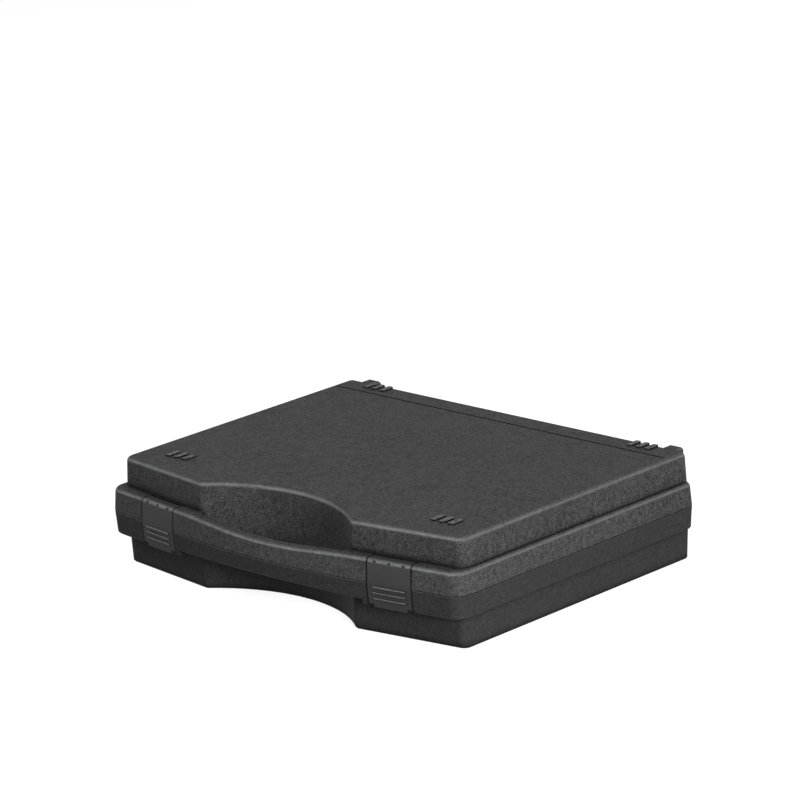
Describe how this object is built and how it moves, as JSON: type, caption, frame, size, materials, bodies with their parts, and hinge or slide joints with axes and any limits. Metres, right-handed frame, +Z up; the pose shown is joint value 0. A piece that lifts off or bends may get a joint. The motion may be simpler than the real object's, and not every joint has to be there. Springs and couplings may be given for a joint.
{
  "type": "tool case",
  "caption": "Moulded plastic tool case with a rear-hinged lid, snap latches in front and a handle split along the rim, with a hand recess behind it.",
  "frame": {"origin": "middle of the footprint on the surface that the case lies on", "axes": "+X to the right seen from the front, +Y from the handle to the hinges, +Z up from underside to deck"},
  "size_m": [0.4, 0.326, 0.0942],
  "materials": {
    "shell_plastic": "charcoal polypropylene with a fine leather-like moulded grain",
    "latch_plastic": "charcoal plastic, slightly smoother than the shells",
    "pin_steel": "plain drawn steel wire"
  },
  "bodies": {
    "base": {"base_shell": "shell_plastic", "hinge_pin_left": "pin_steel", "hinge_pin_right": "pin_steel"},
    "lid": {"lid_shell": "shell_plastic", "latch_pin_left": "pin_steel", "latch_pin_right": "pin_steel"},
    "latch_left": {"latch_left": "latch_plastic"},
    "latch_right": {"latch_right": "latch_plastic"}
  },
  "joints": [
    {"name": "lid_hinge", "type": "hinge", "parent": "base", "child": "lid", "pos_m": [0, 0.1587, 0.048], "axis": [-1, 0, 0], "range_deg": [0, 110]},
    {"name": "latch_left_hinge", "type": "hinge", "parent": "lid", "child": "latch_left", "pos_m": [-0.13133, -0.14348, 0.0642], "axis": [-0.9903, 0.1392, 0], "range_deg": [0, 65]},
    {"name": "latch_right_hinge", "type": "hinge", "parent": "lid", "child": "latch_right", "pos_m": [0.13133, -0.14348, 0.0642], "axis": [-0.9903, -0.1392, 0], "range_deg": [0, 65]}
  ]
}
